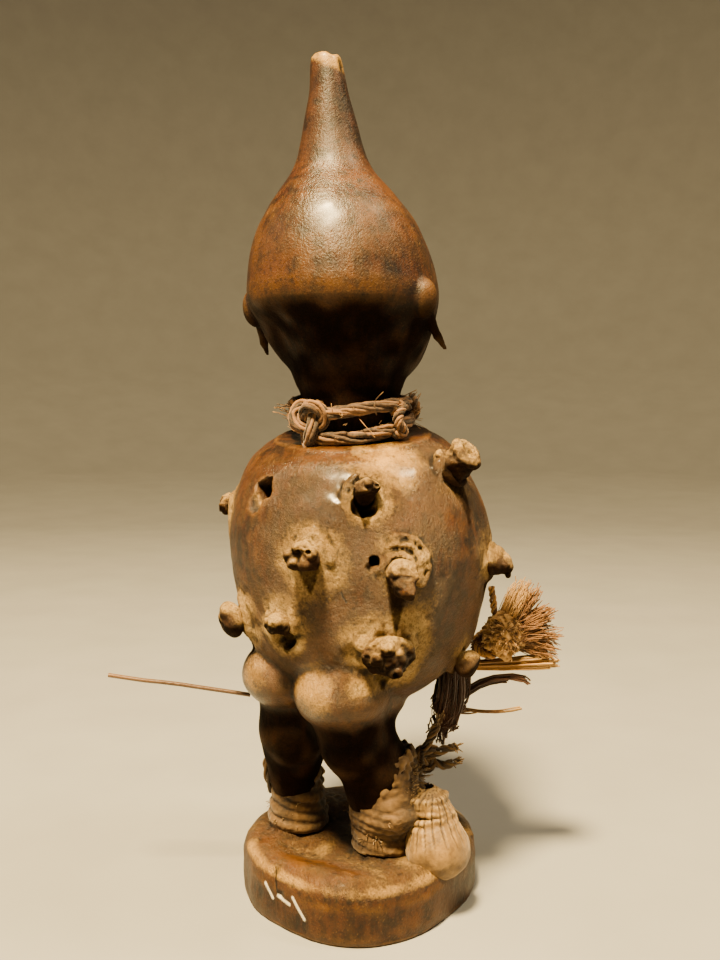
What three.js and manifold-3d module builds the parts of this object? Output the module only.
// A carved and charged power figure: one block of wood cut into base, feet, legs, barrel body and
// horned head, with loose wooden pegs let into the body and fibre bindings at neck, ankles and side.
// Millimetres, +Z up, the face towards -Y, the origin at the middle of the base's underside.
import * as THREE from 'three';
import * as BufferGeometryUtils from 'three/addons/utils/BufferGeometryUtils.js';
import Module from 'manifold-3d';

const wasm = await Module();
wasm.setup();

// Driving dimensions
const HEIGHT = 285;
const FIT_GAP = 0.3;
const DEGREE = Math.PI / 180;

const BASE_HEIGHT = 19;
const BASE_HALF_X = 40.4;
const BASE_HALF_Y = 42.6;
const BASE_CORNER = 4.8;
const BASE_CORNER_AT = 133;
const BASE_RIM = 5;
const BASE_LIP = 2.2;
const BASE_LIP_AT = 115;

const LEAN_FROM = 120;
const LEAN_X = 8.7;
const LEAN_Y = 7.3;

const BODY_RADIUS = 44.8;
const BELLY = 2;
const BODY_MIDDLE = 118;
const BODY_TOP = 157.2;
const SHOULDER_SLOPE = 0.18;
const SHOULDER_FALLS_TO = 115;
const BODY_BOTTOM = 63;
const NECK_WAIST = 17.3;
const NECK_TOP = 19.6;
const SKULL_RADIUS = 33.4;
const SKULL_HEIGHT = 202;
const HEAD_BOTTOM = 173.5;
const CROWN_HEIGHT = 241;
const EYE_HEIGHT = (HEAD_BOTTOM + CROWN_HEIGHT) / 2;
const SHOULDER_OF_HORN = 246;
const HEAD_TURN = 17;

const HIP_HEIGHT = 75.2;
const HIP_SPREAD = 12.1;
const HIP_BACK = 23.7;
const BUTTOCK_RADIUS = 15.8;
const LEFT_ANKLE = [17.8, 13.9];
const RIGHT_ANKLE = [-15, 8];
const FOOT_LENGTH = 34;
const FOOT_WIDTH = 15;
const TOE_SPLAY = 1.5;

const SHANK_RADIUS = 3.2;
const SHANK_LENGTH = 8;
const SEAT_HEIGHT = 0.9;

const CORD_RADIUS = 2.3;
const CORD_BOTTOM = 160;
const CORD_PITCH = 4.4;
const CORD_TURNS = 2;
const CORD_CLEARANCE = 0.8;
const CORD_RISE = 3.6;
const CORD_RISES_AT = 295;
const CORD_KNOT_AT = 96;
const CORD_END_POINT = 4;
const POUCH_AT = [-34.5, 1.5, 22];
const POUCH_RADIUS = 10.4;
const SHIN_KNOT_AT = [-27, -8.5, 47];
const QUILL_RADIUS = 0.75;
const TASSEL_NEIGHBOURS = ['peg_lower_right', 'peg_right'];

// Pegs: the way round the body in degrees from +X, the height, the head's radius, how far the axis
// lifts above level, how long the head stands and the number of lobes cut into it.
const PEGS = [
  { name: 'peg_left_shoulder', turn: 37, z: 132, head: 4.4, lift: 8, stand: 5, lobes: 0 },
  { name: 'peg_upper_middle', turn: 134, z: 139.5, head: 4.4, lift: 16, stand: 6, lobes: 3 },
  { name: 'peg_upper_right', turn: 183, z: 146, head: 5.2, lift: 38, stand: 12.5, neck: 4, lobes: 0 },
  { name: 'peg_middle_left', turn: 107, z: 120.5, head: 5.5, lift: 0, stand: 7.5, lobes: 4 },
  { name: 'peg_centre', turn: 145, z: 118.5, head: 5.4, lift: -38, stand: 14.5, neck: 5, lobes: 0 },
  { name: 'peg_right', turn: 203, z: 115, head: 6.2, lift: 2, stand: 7.5, lobes: 2 },
  { name: 'peg_left_hip', turn: 57, z: 96, head: 5.4, lift: -16, stand: 8.5, lobes: 0 },
  { name: 'peg_lower_left', turn: 94, z: 97.5, head: 4.2, lift: -10, stand: 4.8, lobes: 3 },
  { name: 'peg_lower_middle', turn: 141, z: 90.5, head: 6, lift: -22, stand: 8, lobes: 0 },
  { name: 'peg_lower_right', turn: 193, z: 83, head: 4.2, lift: -22, stand: 6.5, lobes: 3 },
  { name: 'peg_front_left', turn: -38, z: 122, head: 4.8, lift: 3, stand: 6.5, lobes: 3 },
  { name: 'peg_front_upper', turn: -108, z: 136, head: 4.6, lift: 14, stand: 6, lobes: 0 },
  { name: 'peg_front_lower', turn: -80, z: 100, head: 5, lift: -12, stand: 6.5, lobes: 4 },
];

// Sockets whose pegs are lost
const EMPTY_SOCKETS = [
  { turn: 83, z: 140, half: 3.6, sides: 4, depth: 11, lift: 16 },
  { turn: 135.5, z: 119.5, half: 1.7, sides: 8, depth: 9, lift: -6 },
];

// Small helpers

function smooth(from, to, value) {
  return THREE.MathUtils.smoothstep(value, from, to);
}

function hump(value, centre, reach) {
  const t = Math.abs(value - centre) / reach;
  return t >= 1 ? 0 : (1 - t * t) ** 2;
}

function leanAt(z) {
  const t = Math.max(0, (z - LEAN_FROM) / (HEIGHT - LEAN_FROM));
  return [LEAN_X * t, LEAN_Y * t];
}

function reshape(geometry, move) {
  const position = geometry.getAttribute('position');
  const point = new THREE.Vector3();
  for (let i = 0; i < position.count; i += 1) {
    point.fromBufferAttribute(position, i);
    move(point);
    position.setXYZ(i, point.x, point.y, point.z);
  }
  return geometry;
}

function solid(geometry) {
  const bare = geometry.clone();
  bare.deleteAttribute('normal');
  bare.deleteAttribute('uv');
  const merged = BufferGeometryUtils.mergeVertices(bare, 1e-4);
  const triangles = [];
  const index = merged.getIndex().array;
  for (let i = 0; i < index.length; i += 3) {
    const [a, b, c] = index.slice(i, i + 3);
    if (a !== b && b !== c && a !== c) triangles.push(a, b, c);
  }
  return new wasm.Manifold(new wasm.Mesh({
    numProp: 3,
    vertProperties: new Float32Array(merged.getAttribute('position').array),
    triVerts: new Uint32Array(triangles),
  }));
}

function geometryOf(manifold) {
  const mesh = manifold.getMesh();
  const geometry = new THREE.BufferGeometry();
  geometry.setAttribute('position', new THREE.BufferAttribute(new Float32Array(mesh.vertProperties), 3));
  geometry.setIndex(new THREE.BufferAttribute(new Uint32Array(mesh.triVerts), 1));
  geometry.computeVertexNormals();
  return geometry;
}

function join(...geometries) {
  return geometries.map(solid).reduce((sum, next) => sum.add(next));
}

// A profile of [radius, height] points turned about +Z
function turned(profile, segments, steps = 0) {
  const points = profile.map(([r, z]) => new THREE.Vector2(r, z));
  const outline = steps ? new THREE.SplineCurve(points).getPoints(steps) : points;
  outline[0].x = 0;
  outline[outline.length - 1].x = 0;
  outline.forEach((point) => point.setX(Math.max(point.x, 0)));
  return new THREE.LatheGeometry(outline, segments).rotateX(Math.PI / 2);
}

function ball(centre, radii, around = 12, up = 8) {
  return new THREE.SphereGeometry(1, around, up).rotateX(Math.PI / 2).scale(...radii).translate(...centre);
}

function grown(stations, grow) {
  return stations.map(({ at, wide, deep }) => ({ at, wide: wide + grow, deep: deep + grow }));
}

// A limb follows stations of { at, wide, deep } and is cut square at its ends
function limb(stations, sides, rings) {
  const path = new THREE.CatmullRomCurve3(stations.map(({ at }) => new THREE.Vector3(...at)));
  const girth = new THREE.SplineCurve(stations.map(({ wide, deep }) => new THREE.Vector2(wide, deep)));
  const side = new THREE.Vector3();
  const out = new THREE.Vector3();
  const along = new THREE.Vector3();
  const tube = new THREE.CylinderGeometry(1, 1, 1, sides, rings);
  return reshape(tube, (point) => {
    const t = THREE.MathUtils.clamp(0.5 - point.y, 0, 1);
    const size = girth.getPoint(t);
    path.getTangent(t, along);
    side.set(1, 0, 0).addScaledVector(along, -along.x).normalize();
    out.crossVectors(along, side);
    const across = point.x * size.x;
    const through = point.z * size.y;
    point.copy(path.getPoint(t)).addScaledVector(side, across).addScaledVector(out, through);
  });
}

// The barrel swells forward a little as a belly
function bellyAt(z, forward) {
  return BELLY * hump(z, BODY_MIDDLE - 10, 45) * Math.max(0, forward);
}

// The shoulder slopes down towards the back
function shoulderDrop(x, y, z) {
  const across = x * Math.cos(SHOULDER_FALLS_TO * DEGREE);
  const back = y * Math.sin(SHOULDER_FALLS_TO * DEGREE);
  return SHOULDER_SLOPE * (across + back) * smooth(BODY_MIDDLE + 12, BODY_TOP, z);
}

function pointOnBody(turn, z) {
  const [shiftX, shiftY] = leanAt(z);
  const across = Math.cos(turn * DEGREE);
  const back = Math.sin(turn * DEGREE);
  const level = bodyRadius(z);
  const radius = bodyRadius(z + shoulderDrop(level * across, level * back, z));
  return new THREE.Vector3(shiftX + radius * across, shiftY + radius * back - bellyAt(z, -back), z);
}

function directionOf(turn, lift) {
  const level = Math.cos(lift * DEGREE);
  return new THREE.Vector3(
    level * Math.cos(turn * DEGREE),
    level * Math.sin(turn * DEGREE),
    Math.sin(lift * DEGREE),
  );
}

// Sets a shape drawn about +Z with its foot at the origin on the body, along its own axis
function setInBody(geometry, { turn, z, lift }) {
  const upright = new THREE.Vector3(0, 0, 1);
  const swing = new THREE.Quaternion().setFromUnitVectors(upright, directionOf(turn, lift));
  const foot = pointOnBody(turn, z);
  return geometry.applyQuaternion(swing).translate(foot.x, foot.y, foot.z);
}

// The carved figure

const BODY_PROFILE = [
  [0, BODY_BOTTOM],
  [17, BODY_BOTTOM + 4],
  [27, BODY_BOTTOM + 10],
  [34.5, BODY_BOTTOM + 17],
  [39.2, BODY_BOTTOM + 25.5],
  [41.9, BODY_MIDDLE - 19],
  [43.6, BODY_MIDDLE - 9.5],
  [BODY_RADIUS, BODY_MIDDLE],
  [44.3, BODY_MIDDLE + 9],
  [42.7, BODY_MIDDLE + 17],
  [40, BODY_MIDDLE + 23.5],
  [36.4, BODY_TOP - 8.2],
  [32.6, BODY_TOP - 4],
  [28, BODY_TOP - 1.2],
  [24, BODY_TOP],
  [0, BODY_TOP - 0.6],
];

function bodyRadius(z) {
  for (let i = 1; i < BODY_PROFILE.length; i += 1) {
    const [r1, z1] = BODY_PROFILE[i];
    if (z <= z1) {
      const [r0, z0] = BODY_PROFILE[i - 1];
      return r0 + (r1 - r0) * (z - z0) / (z1 - z0);
    }
  }
  return 0;
}

function makeBody(grow = 0) {
  const body = turned(BODY_PROFILE, 24, 15);
  return reshape(body, (point) => {
    const radius = Math.hypot(point.x, point.y);
    const swell = radius > 0 ? 1 + grow / radius : 1;
    const [shiftX, shiftY] = leanAt(point.z);
    const belly = bellyAt(point.z, -point.y / BODY_RADIUS);
    point.z -= shoulderDrop(point.x, point.y, point.z);
    point.x = point.x * swell + shiftX;
    point.y = point.y * swell + shiftY - belly;
    point.z += grow * Math.sign(point.z - BODY_MIDDLE);
  });
}

function baseRadius(turn) {
  const c = Math.cos(turn);
  const s = Math.sin(turn);
  const oval = 1 / Math.hypot(c / BASE_HALF_X, s / BASE_HALF_Y);
  let off = turn / DEGREE - BASE_CORNER_AT;
  off -= 360 * Math.round(off / 360);
  return oval + BASE_CORNER * hump(off, 0, 48);
}

// Towards the back its rim rises in a low lip
function makeBase(grow = 0) {
  const full = 40;
  const profile = [
    [0, 0],
    [full - 1.5, 0],
    [full, 2],
    [full, BASE_HEIGHT - 6],
    [full - 0.3 * BASE_RIM, BASE_HEIGHT - 2.4],
    [full - BASE_RIM, BASE_HEIGHT - 0.2],
    [full - 2 * BASE_RIM, BASE_HEIGHT],
    [0, BASE_HEIGHT - 1],
  ];
  return reshape(turned(profile, 28), (point) => {
    const radius = Math.hypot(point.x, point.y);
    const turn = Math.atan2(point.y, point.x);
    const scale = (baseRadius(turn) + grow) / full;
    const rim = hump(radius, full - 0.6 * BASE_RIM, 2 * BASE_RIM) * smooth(BASE_HEIGHT - 5, BASE_HEIGHT, point.z);
    const lip = BASE_LIP * rim * hump(turn / DEGREE, BASE_LIP_AT, 60);
    point.x *= scale;
    point.y *= scale;
    point.z += lip + (point.z > 0 ? grow : -grow);
  });
}

function makeNeck() {
  const profile = [
    [0, BODY_TOP - 12],
    [20, BODY_TOP - 12],
    [NECK_WAIST, BODY_TOP - 5],
    [NECK_WAIST, BODY_TOP + 12],
    [NECK_TOP - 1, BODY_TOP + 17],
    [NECK_TOP, BODY_TOP + 23],
    [NECK_TOP, BODY_TOP + 33],
    [0, BODY_TOP + 33],
  ];
  return reshape(turned(profile, 16), (point) => {
    const [shiftX, shiftY] = leanAt(point.z);
    point.x += shiftX;
    point.y += shiftY;
  });
}

// The head narrows into a tall horn with a worn tip
function headProfile() {
  return [
    [0, HEAD_BOTTOM],
    [13, HEAD_BOTTOM + 0.5],
    [19.5, HEAD_BOTTOM + 4],
    [24.6, HEAD_BOTTOM + 9],
    [30, HEAD_BOTTOM + 17],
    [SKULL_RADIUS, SKULL_HEIGHT],
    [33, SKULL_HEIGHT + 8],
    [31, SKULL_HEIGHT + 17],
    [27, SKULL_HEIGHT + 26.5],
    [21, SKULL_HEIGHT + 35],
    [14.2, SHOULDER_OF_HORN],
    [10.9, SHOULDER_OF_HORN + 8.5],
    [8.7, SHOULDER_OF_HORN + 18],
    [6.7, SHOULDER_OF_HORN + 26.5],
    [5.2, HEIGHT - 4],
    [3.4, HEIGHT - 0.8],
    [0, HEIGHT],
  ];
}

// Lets the segments crowd together towards the face
function crowdForward(point) {
  const radius = Math.hypot(point.x, point.y);
  const turn = Math.atan2(point.x, -point.y);
  const crowded = turn - 0.45 * Math.sin(turn);
  point.x = radius * Math.sin(crowded);
  point.y = -radius * Math.cos(crowded);
}

// The nape is cut in under the back of the head
function makeSkull() {
  const skull = turned(headProfile(), 22, 19);
  return reshape(skull, (point) => {
    crowdForward(point);
    const radius = Math.hypot(point.x, point.y);
    const front = radius > 0 ? Math.max(0, -point.y / radius) : 0;
    const rear = radius > 0 ? Math.max(0, point.y / radius) : 0;
    const wide = smooth(0.1, 0.75, front);
    const jaw = 8.5 * wide * hump(point.z, HEAD_BOTTOM + 8, 16);
    const brow = 1.6 * smooth(0.55, 0.8, front) * hump(point.z, EYE_HEIGHT + 6, 5);
    const orbit = 2.6 * smooth(0.55, 0.8, front) * hump(point.z, EYE_HEIGHT - 1, 8);
    const nape = 4.5 * smooth(0.3, 0.9, rear) * hump(point.z, HEAD_BOTTOM + 13, 16);
    const grow = radius > 1 ? 1 + (jaw + brow - orbit - nape) / radius : 1;
    const [shiftX, shiftY] = leanAt(point.z);
    point.x = 0.965 * grow * point.x + shiftX;
    point.y = grow * point.y * (point.y < 0 ? 1.04 : 1) + shiftY;
  });
}

function faceAt(across, z, outward) {
  const [shiftX, shiftY] = leanAt(z);
  return [shiftX + across, shiftY - outward, z];
}

// The head is turned a little to its left about its leaning axis
function turnHead(geometry) {
  const cos = Math.cos(HEAD_TURN * DEGREE);
  const sin = Math.sin(HEAD_TURN * DEGREE);
  return reshape(geometry, (point) => {
    const [shiftX, shiftY] = leanAt(point.z);
    const x = point.x - shiftX;
    const y = point.y - shiftY;
    point.x = shiftX + x * cos - y * sin;
    point.y = shiftY + x * sin + y * cos;
  });
}

function makeFace() {
  const pieces = [];
  for (const side of [-1, 1]) {
    pieces.push(ball(faceAt(side * 11.5, EYE_HEIGHT - 0.5, 29.2), [6.8, 4.4, 4], 8, 5));
    pieces.push(ball(faceAt(side * 4.4, EYE_HEIGHT - 15.5, 33.5), [3.6, 3.8, 2.8], 7, 5));
  }
  const bridge = limb([
    { at: faceAt(0, EYE_HEIGHT + 4, 31), wide: 2.4, deep: 3 },
    { at: faceAt(0, EYE_HEIGHT - 6, 33.5), wide: 2.9, deep: 3.6 },
    { at: faceAt(0, EYE_HEIGHT - 15, 35.5), wide: 4, deep: 4.2 },
    { at: faceAt(0, EYE_HEIGHT - 18, 31), wide: 3.4, deep: 2.4 },
  ], 6, 4);
  const upperLip = ball(faceAt(0, EYE_HEIGHT - 22, 32.2), [9, 5.4, 2.1], 8, 4);
  const lowerLip = ball(faceAt(0, EYE_HEIGHT - 26, 31.4), [7.6, 5.2, 2], 8, 4);
  const chin = ball(faceAt(0, HEAD_BOTTOM + 5, 24.5), [8.5, 6.2, 4.6], 8, 5);
  return [...pieces, bridge, upperLip, lowerLip, chin];
}

// An ear is a raised oval shell with a hollow opening forward
function makeEar(side) {
  const [x, y, z] = faceAt(side * 31.5, SKULL_HEIGHT - 5, -1);
  const shell = solid(turnHead(ball([x, y, z], [5.6, 7.2, 9.8], 9, 6)));
  const hollow = solid(turnHead(ball([x + side * 4.4, y - 3.4, z + 0.8], [4.2, 4.8, 6.4], 8, 5)));
  return shell.subtract(hollow);
}

// The left buttock sits a little higher and is flatter than the right one
function makeHips() {
  const right = ball([-HIP_SPREAD, HIP_BACK, HIP_HEIGHT], [BUTTOCK_RADIUS, BUTTOCK_RADIUS, 13.4], 12, 7);
  const left = ball([HIP_SPREAD, HIP_BACK, HIP_HEIGHT + 1.4], [BUTTOCK_RADIUS, BUTTOCK_RADIUS, 12.2], 12, 7);
  const pelvis = ball([0, 9, HIP_HEIGHT - 5], [24, 18, 14], 12, 6);
  return [right, left, pelvis];
}

// Knees a little bent: the thigh runs down and forward, the calf down and back
function legStations([ankleX, ankleY], hipX, girth) {
  return [
    { at: [hipX, HIP_BACK - 3, HIP_HEIGHT - 6], wide: girth + 2.5, deep: girth + 2.5 },
    { at: [hipX * 0.98, ankleY + 7, HIP_HEIGHT - 19], wide: girth + 0.8, deep: girth + 3 },
    { at: [ankleX * 0.94, ankleY + 2, BASE_HEIGHT + 28], wide: girth - 0.4, deep: girth + 2 },
    { at: [ankleX * 0.98, ankleY + 2, BASE_HEIGHT + 19], wide: girth - 1.8, deep: girth - 0.8 },
    { at: [ankleX, ankleY, BASE_HEIGHT + 8], wide: girth - 3.4, deep: girth - 3.2 },
    { at: [ankleX, ankleY, BASE_HEIGHT - 4], wide: girth - 3, deep: girth - 2.4 },
  ];
}

function soleStations([ankleX, ankleY], splay) {
  const floor = BASE_HEIGHT - 1.5;
  const heel = ankleY + 8;
  const toe = heel - FOOT_LENGTH;
  const half = FOOT_WIDTH / 2;
  return [
    { at: [ankleX, heel, floor + 1.5], wide: 4.4, deep: 2.8 },
    { at: [ankleX, heel - 5, floor + 2.6], wide: 6.2, deep: 4.8 },
    { at: [ankleX + splay * 0.4, heel - 15, floor + 3], wide: 6.4, deep: 6 },
    { at: [ankleX + splay * 0.8, toe + 10, floor + 2], wide: half, deep: 4 },
    { at: [ankleX + splay, toe + 4, floor + 1.5], wide: half, deep: 3 },
  ];
}

function makeToes([ankleX, ankleY], splay) {
  const toe = ankleY + 8 - FOOT_LENGTH;
  return [0, 1, 2, 3, 4].map((i) => {
    const across = (i - 2) * (FOOT_WIDTH / 5.2);
    const back = 0.35 * Math.abs(i - 1.5);
    const centre = [ankleX + splay + across, toe + 3.6 + back, BASE_HEIGHT + 0.7];
    return ball(centre, [1.75, 3.8, 2.1], 5, 3);
  });
}

const LEFT_LEG = legStations(LEFT_ANKLE, HIP_SPREAD + 0.5, 9.5);
const RIGHT_LEG = legStations(RIGHT_ANKLE, -HIP_SPREAD, 10.5);
const LEFT_SOLE = soleStations(LEFT_ANKLE, TOE_SPLAY);
const RIGHT_SOLE = soleStations(RIGHT_ANKLE, -TOE_SPLAY);

function makeLegAndSole(leg, sole, grow = 0) {
  return [limb(grown(leg, grow), 9, 7), limb(grown(sole, grow), 8, 4)];
}

function makeSocket({ half, sides, depth, ...place }) {
  const bore = new THREE.CylinderGeometry(half, half, depth + 6, sides).rotateX(Math.PI / 2);
  return setInBody(bore.translate(0, 0, 3 - depth / 2), place);
}

function socketOf({ turn, z, lift }) {
  return { turn, z, lift, half: SHANK_RADIUS + 2 * FIT_GAP, sides: 6, depth: SHANK_LENGTH + FIT_GAP };
}

// A peg is a shank in its socket with a round knob, cut into lobes or bored at the tip
function makePeg(peg, grow = 0) {
  const { head, stand, lobes, neck = SEAT_HEIGHT } = peg;
  const wide = head + grow;
  const top = stand + grow;
  const bored = [[wide * 0.55, top], [wide * 0.24, top - 1.2], [0, top - 1.6]];
  const domed = [[wide * 0.5, top - 0.35], [0, top]];
  const profile = [
    [0, -SHANK_LENGTH],
    [SHANK_RADIUS, -SHANK_LENGTH],
    [SHANK_RADIUS, neck - grow],
    [wide * 0.86, neck - grow + 0.4],
    [wide, neck + 0.5 * (stand - neck)],
    ...(lobes || grow ? domed : bored),
  ];
  const knob = reshape(turned(profile, lobes ? 10 : 8), (point) => {
    const lobe = lobes && point.z > neck ? 0.13 * Math.cos(lobes * Math.atan2(point.y, point.x)) : 0;
    point.x *= 1 + lobe;
    point.y *= 1 + lobe;
  });
  return setInBody(knob, peg);
}

const QUILL_ROUTE = [
  [25, 29, 67.5],
  [33, 36.5, 69.4],
  [44, 46.5, 71.8],
  [54, 55.6, 73.6],
  [62.5, 63.2, 75.4],
];

function makeQuillSocket() {
  const stations = QUILL_ROUTE.slice(0, 2).map((at) => ({ at, wide: 1.15, deep: 1.15 }));
  return limb(stations, 6, 1);
}

function makeFigure() {
  const carved = [
    makeBase(),
    makeBody(),
    makeNeck(),
    turnHead(makeSkull()),
    ...makeFace().map(turnHead),
    ...makeHips(),
    ...makeLegAndSole(LEFT_LEG, LEFT_SOLE),
    ...makeLegAndSole(RIGHT_LEG, RIGHT_SOLE),
    ...makeToes(LEFT_ANKLE, TOE_SPLAY),
    ...makeToes(RIGHT_ANKLE, -TOE_SPLAY),
  ];
  const cuts = [
    ...PEGS.map(socketOf).map(makeSocket),
    ...EMPTY_SOCKETS.map(makeSocket),
    makeQuillSocket(),
  ];
  const figure = join(...carved).add(makeEar(-1)).add(makeEar(1));
  return cuts.map(solid).reduce((rest, cut) => rest.subtract(cut), figure);
}

// Bindings

// A cord of round section laid along a curve
function strand(curve, radius, steps, sides) {
  const outline = [];
  for (let i = 0; i < sides; i += 1) {
    const turn = (2 * Math.PI * i) / sides;
    outline.push(new THREE.Vector2(radius * Math.cos(turn), radius * Math.sin(turn)));
  }
  return new THREE.ExtrudeGeometry(new THREE.Shape(outline), { steps, extrudePath: curve });
}

// The neck binding winds up in two turns from its knot, higher towards one side
function makeNeckCord() {
  const points = [];
  const perTurn = 12;
  for (let i = 0; i <= CORD_TURNS * perTurn; i += 1) {
    const turn = CORD_KNOT_AT * DEGREE + (i / perTurn) * 2 * Math.PI;
    const tilt = CORD_RISE * Math.cos(turn - CORD_RISES_AT * DEGREE);
    const z = CORD_BOTTOM + CORD_PITCH * (i / perTurn) + tilt;
    const radius = NECK_WAIST + CORD_RADIUS + CORD_CLEARANCE;
    const [shiftX, shiftY] = leanAt(z);
    points.push(new THREE.Vector3(shiftX + radius * Math.cos(turn), shiftY + radius * Math.sin(turn), z));
  }
  const cord = strand(new THREE.CatmullRomCurve3(points), CORD_RADIUS, 40, 6);
  const knotAt = points[0].clone().lerp(points[points.length - 1], 0.5);
  knotAt.y += 1.4;
  const endAt = points[CORD_END_POINT];
  const end = ball([endAt.x - 1.6, endAt.y, endAt.z + 2], [2.6, 3, 6], 7, 5);
  return join(cord, ball(knotAt.toArray(), [5.6, 3.6, 7.2], 8, 5), end);
}

function legClearance(leg, sole) {
  return join(...makeLegAndSole(leg, sole, FIT_GAP));
}

function makeLeftWrap() {
  const [x, y] = LEFT_ANKLE;
  const foot = BASE_HEIGHT + 0.5;
  const folds = limb([
    { at: [x, y - 1, foot + 17], wide: 7.6, deep: 7.8 },
    { at: [x, y - 1, foot + 12], wide: 9, deep: 9.4 },
    { at: [x, y - 1, foot + 6], wide: 8.8, deep: 9.6 },
    { at: [x, y - 1, foot + 0.5], wide: 9.4, deep: 10.4 },
  ], 10, 4);
  const tuft = limb([
    { at: [x + 7.5, y + 5, foot + 7], wide: 1.6, deep: 1.2 },
    { at: [x + 9.8, y + 6.5, foot + 14], wide: 2, deep: 1.4 },
    { at: [x + 8.8, y + 6, foot + 22], wide: 1, deep: 0.8 },
  ], 5, 4);
  return join(folds, tuft).subtract(legClearance(LEFT_LEG, LEFT_SOLE));
}

const [RIGHT_X, RIGHT_Y] = RIGHT_ANKLE;
const RIGHT_FOOT = BASE_HEIGHT + 0.5;

const RIGHT_FOLDS = [
  { at: [RIGHT_X - 0.5, RIGHT_Y - 2, RIGHT_FOOT + 30], wide: 9.4, deep: 10 },
  { at: [RIGHT_X - 1, RIGHT_Y - 2, RIGHT_FOOT + 21], wide: 10.8, deep: 11.4 },
  { at: [RIGHT_X - 2.5, RIGHT_Y - 4, RIGHT_FOOT + 13.5], wide: 13.8, deep: 15 },
  { at: [RIGHT_X - 1, RIGHT_Y - 3, RIGHT_FOOT + 8], wide: 10.4, deep: 12.6 },
  { at: [RIGHT_X - 0.5, RIGHT_Y - 3, RIGHT_FOOT + 4], wide: 9.6, deep: 12.4 },
  { at: [RIGHT_X - 0.5, RIGHT_Y - 3, RIGHT_FOOT + 0.5], wide: 10.4, deep: 13.4 },
];

const RIGHT_FLAP = [
  { at: [RIGHT_X - 7, RIGHT_Y + 2, RIGHT_FOOT + 38], wide: 1.2, deep: 1 },
  { at: [RIGHT_X - 9, RIGHT_Y + 2.4, RIGHT_FOOT + 30], wide: 3.4, deep: 2 },
  { at: [RIGHT_X - 9, RIGHT_Y + 2, RIGHT_FOOT + 20], wide: 4.4, deep: 3 },
];

function rightWrapOutside(grow) {
  return join(
    limb(grown(RIGHT_FOLDS, grow), 11, 6),
    limb(grown(RIGHT_FLAP, grow), 5, 3),
  );
}

function makeRightWrap() {
  return rightWrapOutside(0).subtract(legClearance(RIGHT_LEG, RIGHT_SOLE));
}

// What hangs at the right ankle stays clear of the wrap, the leg and the base
function rightAnkleClearance() {
  return rightWrapOutside(FIT_GAP).add(solid(makeBase(FIT_GAP)));
}

// A gathered bundle hangs over the rim of the base
function makePouch() {
  const [x, y, z] = POUCH_AT;
  const bag = ball([0, 0, 0], [POUCH_RADIUS, POUCH_RADIUS, 0.94 * POUCH_RADIUS], 12, 8);
  reshape(bag, (point) => {
    const gather = smooth(-2, 9, point.z);
    const pleat = 1 + 0.07 * gather * Math.cos(6 * Math.atan2(point.y, point.x));
    point.x *= pleat;
    point.y *= pleat;
  });
  const neck = limb([
    { at: [x + 1.5, y - 0.5, z + 6], wide: 7.4, deep: 7.6 },
    { at: [x + 4, y - 1, z + 10], wide: 7.8, deep: 8.6 },
    { at: [x + 7, y - 2, z + 14], wide: 6.4, deep: 7.4 },
  ], 10, 3);
  return join(bag.translate(x, y, z), neck).subtract(rightAnkleClearance());
}

// A bow of twisted ends in front of the right shin
function makeShinKnot() {
  const [x, y, z] = SHIN_KNOT_AT;
  const knot = ball([x, y, z], [4.2, 4.6, 4], 8, 6);
  const ends = [
    [[x + 1, y + 2, z], [x - 2, y + 3, z + 6], [x - 2.5, y + 1, z + 12]],
    [[x, y, z], [x - 5, y - 2, z + 3], [x - 10, y - 3, z + 2.5]],
    [[x, y, z], [x - 4, y - 2, z - 3], [x - 9, y - 4.5, z - 4]],
    [[x + 2, y + 1, z], [x + 3, y + 3, z - 6], [x + 2, y + 5, z - 11]],
  ].map((points) => limb(points.map((at) => ({ at, wide: 1.7, deep: 1.5 })), 5, 2));
  return join(knot, ...ends).subtract(rightAnkleClearance());
}

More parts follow.
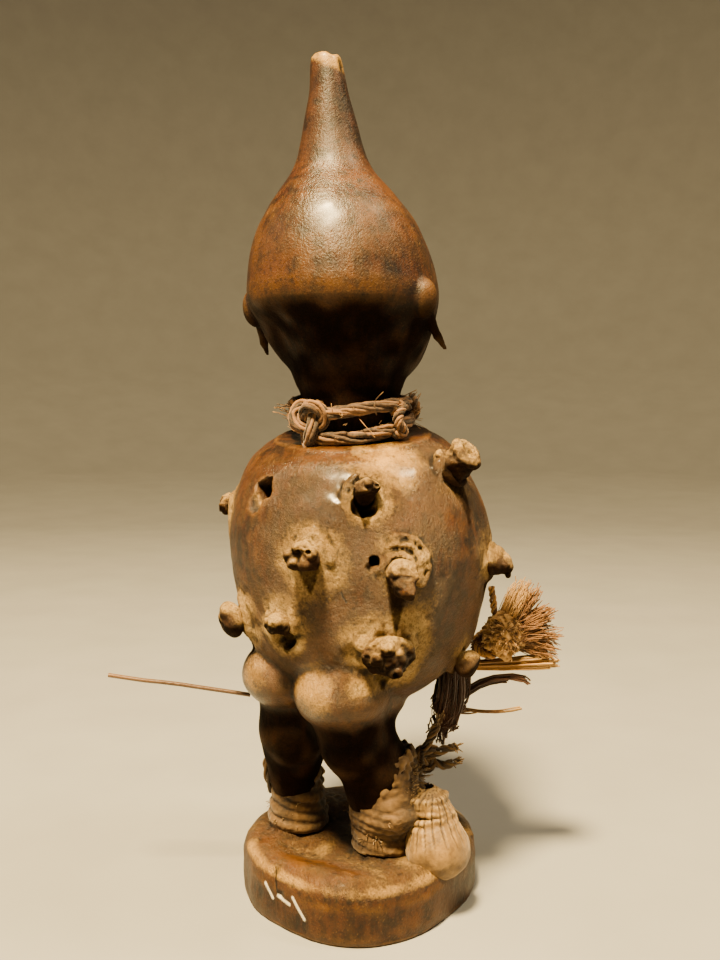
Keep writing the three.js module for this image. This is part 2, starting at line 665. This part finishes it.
// The tassel is a thick hank of fibre tied low on the right side: its cut end shows, the rest fans
// out past it, and a dark tangle hangs from it under the body
function makeTassel() {
  const brush = limb([
    { at: [-29, -27, 80], wide: 4.6, deep: 4.6 },
    { at: [-36, -32, 84], wide: 5.6, deep: 6 },
    { at: [-41.5, -33.5, 90], wide: 7, deep: 7.4 },
    { at: [-42.5, -30, 95], wide: 6.6, deep: 6.6 },
  ], 10, 5);
  const tips = [
    [-45.5, -38, 109],
    [-50, -45, 103],
    [-52, -49, 94.5],
    [-52.5, -50, 86.5],
    [-49, -45, 80],
  ];
  const fans = tips.map((tip) => {
    const waist = [-38, -35, 86 + 0.12 * (tip[2] - 94)];
    const middle = waist.map((value, axis) => 0.45 * value + 0.55 * tip[axis]);
    return limb([
      { at: waist, wide: 3.6, deep: 3.6 },
      { at: middle, wide: 3.4, deep: 3.4 },
      { at: tip, wide: 4, deep: 2.8 },
    ], 5, 3);
  });
  const tail = limb([
    { at: [-29, -15, 77], wide: 3, deep: 3 },
    { at: [-35, -22, 75], wide: 2.6, deep: 2.2 },
    { at: [-42, -32, 76.5], wide: 2.8, deep: 2.4 },
    { at: [-48, -42, 79], wide: 2.6, deep: 2.4 },
  ], 6, 5);
  const tangle = limb([
    { at: [-25, -22, 77], wide: 5, deep: 5 },
    { at: [-23.5, -19, 69], wide: 7, deep: 6.6 },
    { at: [-22.5, -16, 61], wide: 6.6, deep: 6 },
    { at: [-24, -13.5, 54], wide: 3.6, deep: 3.4 },
  ], 8, 5);
  const nearby = PEGS.filter(({ name }) => TASSEL_NEIGHBOURS.includes(name));
  const clear = join(makeBody(FIT_GAP), ...nearby.map((peg) => makePeg(peg, FIT_GAP)));
  return join(brush, ...fans, tail, tangle).subtract(clear);
}

function makeQuill() {
  const stations = QUILL_ROUTE.map((at, i) => {
    const radius = QUILL_RADIUS - 0.12 * i;
    return { at, wide: radius, deep: radius };
  });
  return limb(stations, 6, 5);
}

// Materials

function finish(color, roughness) {
  return new THREE.MeshStandardMaterial({ color, roughness, metalness: 0 });
}

const group = new THREE.Group();

function addMesh(name, manifold, material) {
  const mesh = new THREE.Mesh(geometryOf(manifold), material);
  mesh.name = name;
  group.add(mesh);
}

addMesh('figure', makeFigure(), finish(0x3a2114, 0.42));
for (const peg of PEGS) addMesh(peg.name, solid(makePeg(peg)), finish(0x4a2c18, 0.55));
addMesh('neck_cord', makeNeckCord(), finish(0x6e5238, 0.85));
addMesh('ankle_wrap_left', makeLeftWrap(), finish(0x7a6242, 0.9));
addMesh('ankle_wrap_right', makeRightWrap(), finish(0x7a6242, 0.9));
addMesh('ankle_pouch', makePouch(), finish(0x7d5f3c, 0.85));
addMesh('shin_knot', makeShinKnot(), finish(0x7a6242, 0.9));
addMesh('side_tassel', makeTassel(), finish(0x9c7640, 0.9));
addMesh('hip_quill', solid(makeQuill()), finish(0x5a3f26, 0.6));

export default group;
